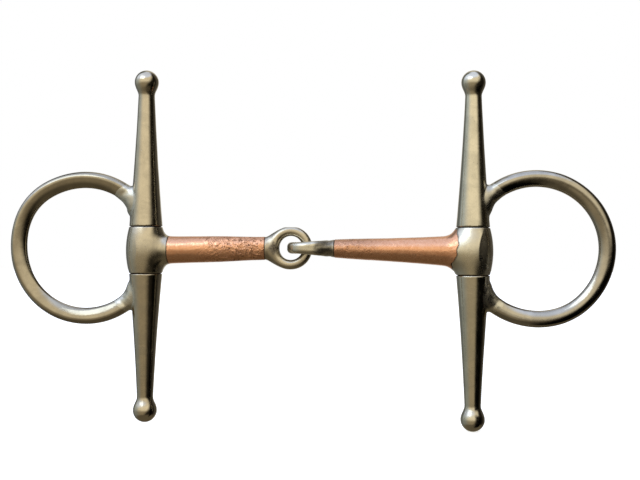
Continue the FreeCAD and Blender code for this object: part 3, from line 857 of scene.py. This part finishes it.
# Places of the marks along the bar: the smudge from the cheek's axis and above the barrel's
# middle, the painted shade of a dish before the eye's middle, and the darker neck past the copper's inner
# end
SMUDGE_ALONG = 7.6
SMUDGE_HEIGHT = -1.5
SHADED_DISH_BEFORE_EYE = 7.2
NECK_PAST_COPPER = 4.0


def core_smudge_shade_and_neck(side, p):
    """The left half's smudge on the flare and painted dish shade by the eye, or the right half's darker
    neck.
    """
    x = along(side, p)
    if side.name == "right":
        neck = 1 - ramp(np.abs(x - side.sleeve_end - NECK_PAST_COPPER), 2.5, 5.0)
        return neck * (0.5 + 0.3 * ripple(p, 4.0, 91))
    u, _ = in_plane_and_across(side, p)
    from_smudge = np.hypot(x - SMUDGE_ALONG, 0.7 * (p[:, 2] - SMUDGE_HEIGHT)) + ripple(p, 4.0, 81)
    # Painted shade where a dish would be, before the eye; the shape has no dish there.
    from_shaded_dish = np.abs(x - eye_place(side) + SHADED_DISH_BEFORE_EYE) / 2.4 + np.abs(u) / 3.4
    return 0.3 * (1 - ramp(from_smudge, 0.5, 3.0)) + 0.9 * (1 - ramp(from_shaded_dish, 0.5, 1.25))


def core_dirt_and_shade(side):
    """Painted shade beside the gaps and inside the eye, dirt at the copper's ends, and each half's own
    marks.
    """

    def mask(p):
        x = along(side, p)
        u, _ = in_plane_and_across(side, p)
        # Painted shade beside the gap at each end of the barrel.
        gap = 1 - ramp(side.barrel_half - np.abs(p[:, 2]), -0.08, 0.12)
        seam = 0.6 * (1 - ramp(np.abs(x - side.sleeve_start - outer_edge(side, p)), 0.1, 0.5))
        inner = 0.5 * (1 - ramp(np.abs(x - side.sleeve_end), 0.05, 0.5))
        # Painted shade round the inside of the eye's hole.
        from_hole = np.hypot(x - eye_place(side), u) - (EYE_RADIUS - EYE_BAR)
        hole = 0.5 * (1 - ramp(from_hole, 0.1, 0.9))
        return gap + seam + inner + hole + core_smudge_shade_and_neck(side, p)

    return mask


def sleeve_worn(side):
    """How badly the copper is pitted: more towards the joint, and less on the right half."""

    def mask(p):
        x = along(side, p)
        middle = (side.sleeve_start + side.sleeve_end) / 2
        if side.name == "left":
            return ramp(x, middle - 12, middle + 6)
        towards_joint = ramp(x, side.sleeve_end - 24, side.sleeve_end - 8)
        return 0.14 + 0.14 * ripple(p, 9.0, 71) + 0.3 * towards_joint

    return mask


def sleeve_dirt_and_shade(side):
    """Dirt at both ends of the copper, and painted shade on top of the right half towards the joint."""

    def mask(p):
        x = along(side, p)
        inner_end = 0.5 * (1 - ramp(side.sleeve_end - x, 0.0, 0.4))
        if side.name == "left":
            return inner_end + 0.45 * (1 - ramp(x - side.sleeve_start, 0.0, 0.35))
        outer_end = 0.95 * (1 - ramp(x - side.sleeve_start - outer_edge(side, p), 0.05, 0.6))
        towards_joint = ramp(x, side.sleeve_end - 26, side.sleeve_end - 10)
        # Painted shade: the last term darkens the top of the right half towards the joint.
        return inner_end + outer_end + 0.25 * towards_joint * ramp(p[:, 2], -1.5, 2.5)

    return mask


def build_core(side):
    """One half of the mouthpiece in steel, from barrel to eye."""
    node = f"{side.name}_mouthpiece_core"
    low, high = box_mm(node)
    high[2] += DISC_HEIGHT
    low[2] -= DISC_HEIGHT
    masks = {"dirt_and_shade": core_dirt_and_shade(side)}
    piece = mesh_of(f"look_{node}", core_field(side), low, high, NET_STEP["core"], masks)
    rough = CORE_ROUGHNESS[side.name]
    look = nickel(f"nickel_{side.name}_core", 13 + side.out, (1.2, 1.2, 0.3), rough, NICKEL_SHADED_PER_SIDE[side.name])
    finish_piece(piece, f"{side.name}_mouthpiece", node, look)


def build_sleeve(side):
    """The copper round one half of the mouthpiece."""
    node = f"{side.name}_copper_sleeve"
    low, high = box_mm(node)
    widen = np.array([CLIMB + 0.8, 1.5, 1.5])
    low, high = low - widen, high + widen
    masks = {"dirt_and_shade": sleeve_dirt_and_shade(side), "worn": sleeve_worn(side)}
    piece = mesh_of(f"look_{node}", sleeve_field(side), low, high, NET_STEP["sleeve"], masks)
    look = copper(f"copper_{side.name}", 3 + side.out)
    finish_piece(piece, f"{side.name}_mouthpiece", node, look)


def build_pin(side):
    """The hinge pin stays as the CAD has it, inside the barrel, and only gets its steel."""
    look = nickel(f"pin_{side.name}", 17 + side.out, (2.0, 2.0, 0.2), 0.3, PIN_STEEL)
    node = frame["nodes"][f"{side.name}_hinge_pin"]
    node.data.materials.clear()
    node.data.materials.append(look)


for side_name in SIDES:
    side = Side(side_name)
    build_cheek(side)
    build_core(side)
    build_sleeve(side)
    build_pin(side)


# ---------------------------------------------------------------- camera, light and floor


CAMERA_DISTANCE = 0.42
CAMERA_LENS = 55.1
CAMERA_YAW = math.radians(3.8)
CAMERA_PITCH = math.radians(-0.5)
CAMERA_ROLL = math.radians(0.24)
CAMERA_AIM = Vector((0.0053, 0.0, 0.0046))


def build_camera():
    """The photographer's view: square on, a little to the right of the middle."""
    data = bpy.data.cameras.new("camera")
    data.lens = CAMERA_LENS
    data.sensor_width = 36.0
    data.clip_start = 0.01
    camera = bpy.data.objects.new("camera", data)
    bpy.context.scene.collection.objects.link(camera)
    forward = Vector(
        (
            -math.sin(CAMERA_YAW) * math.cos(CAMERA_PITCH),
            math.cos(CAMERA_YAW) * math.cos(CAMERA_PITCH),
            -math.sin(CAMERA_PITCH),
        )
    )
    turn = forward.to_track_quat("-Z", "Y").to_matrix() @ Matrix.Rotation(CAMERA_ROLL, 3, "Z")
    camera.matrix_world = Matrix.Translation(CAMERA_AIM - forward * CAMERA_DISTANCE) @ turn.to_4x4()
    bpy.context.scene.camera = camera


SURROUNDINGS = {
    "front_low": (0.35, 0.295, 0.205, 1),
    "front_high": (1.05, 0.96, 0.77, 1),
    "left_low": (0.26, 0.28, 0.27, 1),
    "left_high": (0.52, 0.59, 0.64, 1),
    "left_rear": (0.15, 0.165, 0.17, 1),
    "right": (0.012, 0.010, 0.007, 1),
    "right_rear": (0.10, 0.092, 0.078, 1),
    "behind": (0.6, 0.57, 0.5, 1),
    "ground": (0.13, 0.11, 0.075, 1),
    "sky": (1.02, 1.18, 1.6, 1),
    "top": (0.85, 0.98, 1.34, 1),
}


def build_world():
    """What the polished metal mirrors: a warm front, a cool bright sky on the left, a dark right."""
    world = bpy.data.worlds.new("studio")
    bpy.context.scene.world = world
    world.use_nodes = True
    nodes = Nodes(world.node_tree)
    where = nodes.add("ShaderNodeTexCoord").outputs["Generated"]
    parts = nodes.add("ShaderNodeSeparateXYZ")
    nodes.link(where, parts.inputs[0])
    x, y, z = parts.outputs
    hue = SURROUNDINGS
    # Both angles are in degrees; a bearing of 0 is towards the camera, positive to the right
    bearing = nodes.math("ARCTAN2", x, nodes.times(y, -1.0))
    bearing = nodes.times(bearing, 180 / math.pi)
    height = nodes.times(nodes.math("ARCSINE", z), 180 / math.pi)
    front = nodes.mix(nodes.rise(height, -14, 14), hue["front_low"], hue["front_high"])
    flank = nodes.mix(nodes.rise(height, -16, 16), hue["left_low"], hue["left_high"])
    colour = nodes.mix(nodes.rise(bearing, -30, -88), front, flank)
    colour = nodes.mix(nodes.rise(bearing, -98, -125), colour, hue["left_rear"])
    edge = nodes.math("SUBTRACT", bearing, nodes.times(height, 0.9))
    colour = nodes.mix(nodes.rise(edge, 14, 56), colour, hue["right"])
    colour = nodes.mix(nodes.rise(bearing, 100, 128), colour, hue["right_rear"])
    behind = nodes.rise(nodes.math("ABSOLUTE", bearing), 146, 170)
    colour = nodes.mix(behind, colour, hue["behind"])
    colour = nodes.mix(nodes.rise(height, -22, -50), colour, hue["ground"])
    leftward = nodes.math("MAXIMUM", bearing, -60.0)
    skyline = nodes.math("SUBTRACT", height, nodes.times(leftward, 0.25))
    sky = nodes.times(nodes.rise(skyline, 26, 50), nodes.rise(edge, 60, 20))
    sky = nodes.times(sky, nodes.rise(bearing, -130, -95))
    colour = nodes.mix(sky, colour, hue["sky"])
    colour = nodes.mix(nodes.rise(height, 55, 78), colour, hue["top"])
    lit = nodes.add("ShaderNodeBackground")
    nodes.link(colour, lit.inputs["Color"])
    lit.inputs["Strength"].default_value = 1.0
    plain = nodes.add("ShaderNodeBackground")
    plain.inputs["Color"].default_value = (1, 1, 1, 1)
    path = nodes.add("ShaderNodeLightPath")
    both = nodes.add("ShaderNodeMixShader")
    nodes.link(path.outputs["Is Camera Ray"], both.inputs[0])
    nodes.link(lit.outputs[0], both.inputs[1])
    nodes.link(plain.outputs[0], both.inputs[2])
    output = nodes.add("ShaderNodeOutputWorld")
    nodes.link(both.outputs[0], output.inputs["Surface"])


WINDOW_PLACE = Vector((-0.55, -0.65, 0.75))
WINDOW_WIDTH = 0.8
WINDOW_HEIGHT = 0.55
WINDOW_POWER = 2.2


def build_light():
    """One soft window high on the left, which gives the balls and rings their white highlights."""
    data = bpy.data.lights.new("window", "AREA")
    data.shape = "RECTANGLE"
    data.size = WINDOW_WIDTH
    data.size_y = WINDOW_HEIGHT
    data.energy = WINDOW_POWER
    data.color = (0.80, 0.92, 1.0)
    light = bpy.data.objects.new("window", data)
    light.location = WINDOW_PLACE
    light.rotation_euler = (-WINDOW_PLACE).to_track_quat("-Z", "Y").to_euler()
    light.visible_camera = False
    bpy.context.scene.collection.objects.link(light)


def card(name, corners, look):
    """A flat four-cornered sheet."""
    mesh = bpy.data.meshes.new(name)
    mesh.from_pydata(corners, [], [(0, 1, 2, 3)])
    mesh.materials.append(look)
    made = bpy.data.objects.new(name, mesh)
    bpy.context.scene.collection.objects.link(made)
    return made


FLOOR_HALF = 3.0
FLOOR_GLOW = 0.78


def pale_floor():
    """Matt white with a glow of its own, so that the floor stays even and pale."""
    made = bpy.data.materials.new("pale_floor")
    made.use_nodes = True
    nodes = Nodes(made.node_tree)
    glow = nodes.add("ShaderNodeEmission")
    glow.inputs["Color"].default_value = (1, 1, 1, 1)
    glow.inputs["Strength"].default_value = FLOOR_GLOW
    matt = nodes.add("ShaderNodeBsdfDiffuse")
    matt.inputs["Color"].default_value = (0.8, 0.8, 0.8, 1)
    both = nodes.add("ShaderNodeAddShader")
    nodes.link(glow.outputs[0], both.inputs[0])
    nodes.link(matt.outputs[0], both.inputs[1])
    output = nodes.add("ShaderNodeOutputMaterial")
    nodes.link(both.outputs[0], output.inputs["Surface"])
    return made


def build_floor():
    """A plain pale floor, just under the lower balls, that the metal doesn't mirror."""
    half = FLOOR_HALF
    z = CAD_BOX[0][2]
    corners = [(-half, -half, z), (half, -half, z), (half, half, z), (-half, half, z)]
    floor = card("floor", corners, pale_floor())
    floor.visible_glossy = False
    floor.visible_diffuse = False


FLAG_NEAR = (0.088, -0.112)
FLAG_FAR = (0.36, -0.03)
FLAG_LOW = -0.40
FLAG_HIGH = 0.03
FLAG_FADE = 0.05


def black_card():
    """Black that fades out towards the card's near and upper edges."""
    made = bpy.data.materials.new("black_card")
    made.use_nodes = True
    nodes = Nodes(made.node_tree)
    parts = nodes.add("ShaderNodeSeparateXYZ")
    nodes.link(nodes.add("ShaderNodeTexCoord").outputs["Object"], parts.inputs[0])
    across = nodes.rise(parts.outputs[0], FLAG_NEAR[0], FLAG_NEAR[0] + FLAG_FADE)
    upward = nodes.rise(parts.outputs[2], FLAG_HIGH, FLAG_HIGH - FLAG_FADE)
    clear = nodes.add("ShaderNodeBsdfTransparent")
    black = nodes.add("ShaderNodeBsdfDiffuse")
    black.inputs["Color"].default_value = (0.004, 0.004, 0.003, 1)
    both = nodes.add("ShaderNodeMixShader")
    nodes.link(nodes.times(across, upward), both.inputs[0])
    nodes.link(clear.outputs[0], both.inputs[1])
    nodes.link(black.outputs[0], both.inputs[2])
    output = nodes.add("ShaderNodeOutputMaterial")
    nodes.link(both.outputs[0], output.inputs["Surface"])
    return made


def build_flag():
    """A black card low on the right, just off the bit, which darkens the right cheek the most."""
    corners = [
        (*FLAG_NEAR, FLAG_LOW),
        (*FLAG_FAR, FLAG_LOW),
        (*FLAG_FAR, FLAG_HIGH),
        (*FLAG_NEAR, FLAG_HIGH),
    ]
    flag = card("flag", corners, black_card())
    flag.visible_camera = False
    flag.visible_diffuse = False
    flag.visible_shadow = False


build_camera()
build_world()
build_light()
build_flag()
build_floor()
bpy.context.scene.view_settings.view_transform = "Standard"
